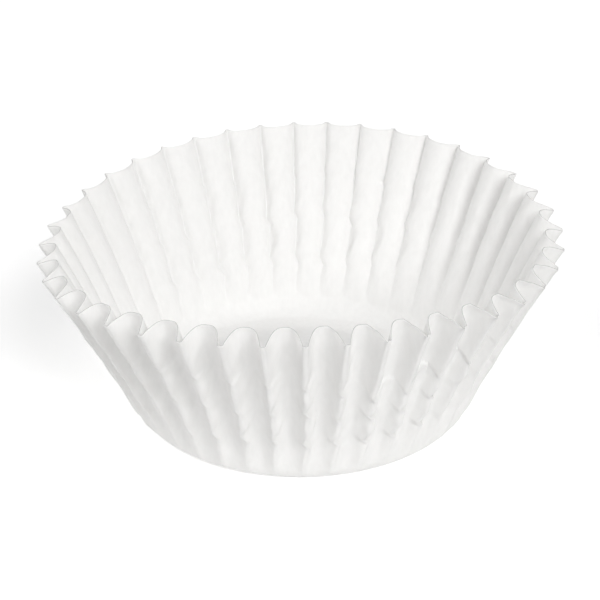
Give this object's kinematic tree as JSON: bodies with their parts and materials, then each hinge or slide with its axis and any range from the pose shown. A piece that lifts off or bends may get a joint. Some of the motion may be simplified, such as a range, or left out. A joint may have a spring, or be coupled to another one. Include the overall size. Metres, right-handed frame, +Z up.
{
  "type": "cupcake liner",
  "caption": "Round white paper baking cup with a flat base and a fluted wall that flares to an open, scalloped mouth.",
  "frame": {"origin": "centre of the flat base, where the cup rests on the table", "axes": "+Z up through the middle of the base, with a ridge tip near +X and the picture's camera on the -Y side"},
  "size_m": [0.08, 0.0781, 0.0313],
  "materials": {
    "paper": "matte"
  },
  "bodies": {
    "root": {"liner": "paper"}
  },
  "joints": []
}
